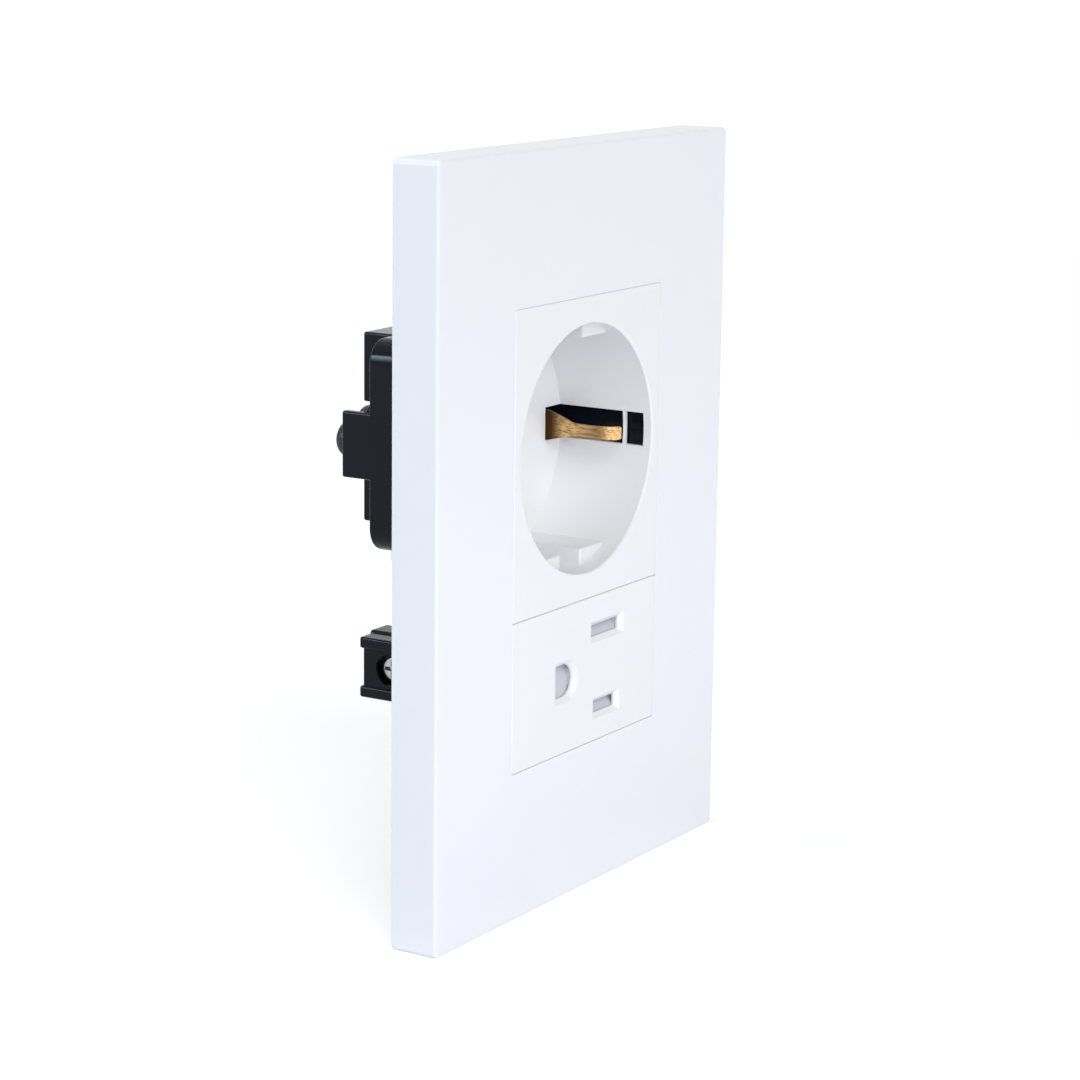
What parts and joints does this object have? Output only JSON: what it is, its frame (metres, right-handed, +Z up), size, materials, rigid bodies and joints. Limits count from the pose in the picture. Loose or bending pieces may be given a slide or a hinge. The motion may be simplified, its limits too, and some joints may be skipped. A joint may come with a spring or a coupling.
{
  "type": "double socket outlet",
  "caption": "Wall outlet with a white cover plate holding a round earthed socket above a flat-blade socket with shutters, on black housings that sit in a wall box.",
  "frame": {"origin": "middle of the cover plate on the wall plane, midway between the two box screw slots", "axes": "+X to the right seen from the room, +Y into the wall, +Z up"},
  "size_m": [0.086, 0.0435, 0.12],
  "materials": {
    "white": "moulded, satin gloss",
    "face_white": "moulded, satin gloss",
    "shutter_white": "moulded, low-friction",
    "black": "moulded, satin gloss",
    "frame_grey": "moulded, fine matt",
    "brass": "stamped and bent strip, lightly brushed",
    "zinc_steel": "zinc plated",
    "black_steel": "black passivated",
    "spring_steel": "drawn wire"
  },
  "bodies": {
    "outlet": {"cover_plate": "white", "support_frame": "frame_grey", "round_socket_face": "face_white", "round_socket_housing": "black", "upper_pin_contact": "brass", "lower_pin_contact": "brass", "earth_strap": "brass", "housing_screw": "black_steel", "upper_pin_clamp": "zinc_steel", "upper_pin_screw": "black_steel", "lower_pin_clamp": "zinc_steel", "lower_pin_screw": "black_steel", "earth_clamp": "zinc_steel", "earth_screw": "black_steel", "blade_socket_face": "face_white", "blade_socket_housing": "black", "blade_shutter_spring": "spring_steel", "ground_shutter_spring": "spring_steel", "neutral_blade_contact": "brass", "live_blade_contact": "brass", "ground_pin_contact": "brass", "neutral_blade_clamp": "zinc_steel", "neutral_blade_screw": "zinc_steel", "live_blade_clamp": "zinc_steel", "live_blade_screw": "zinc_steel", "ground_pin_clamp": "zinc_steel", "ground_pin_screw": "zinc_steel"},
    "blade_shutter_slider": {"blade_shutter": "shutter_white"},
    "ground_shutter_slider": {"ground_shutter": "shutter_white"}
  },
  "joints": [
    {"name": "blade_shutter_slide", "type": "slide", "parent": "outlet", "child": "blade_shutter_slider", "axis": [0, 0, -1], "range_m": [0, 0.00275], "stiffness_N_per_m": 100, "springref_m": -0.004, "deforming": ["blade_shutter_spring"]},
    {"name": "ground_shutter_slide", "type": "slide", "parent": "outlet", "child": "ground_shutter_slider", "axis": [0, 0, -1], "range_m": [0, 0.006], "stiffness_N_per_m": 60, "springref_m": -0.004, "deforming": ["ground_shutter_spring"]}
  ]
}
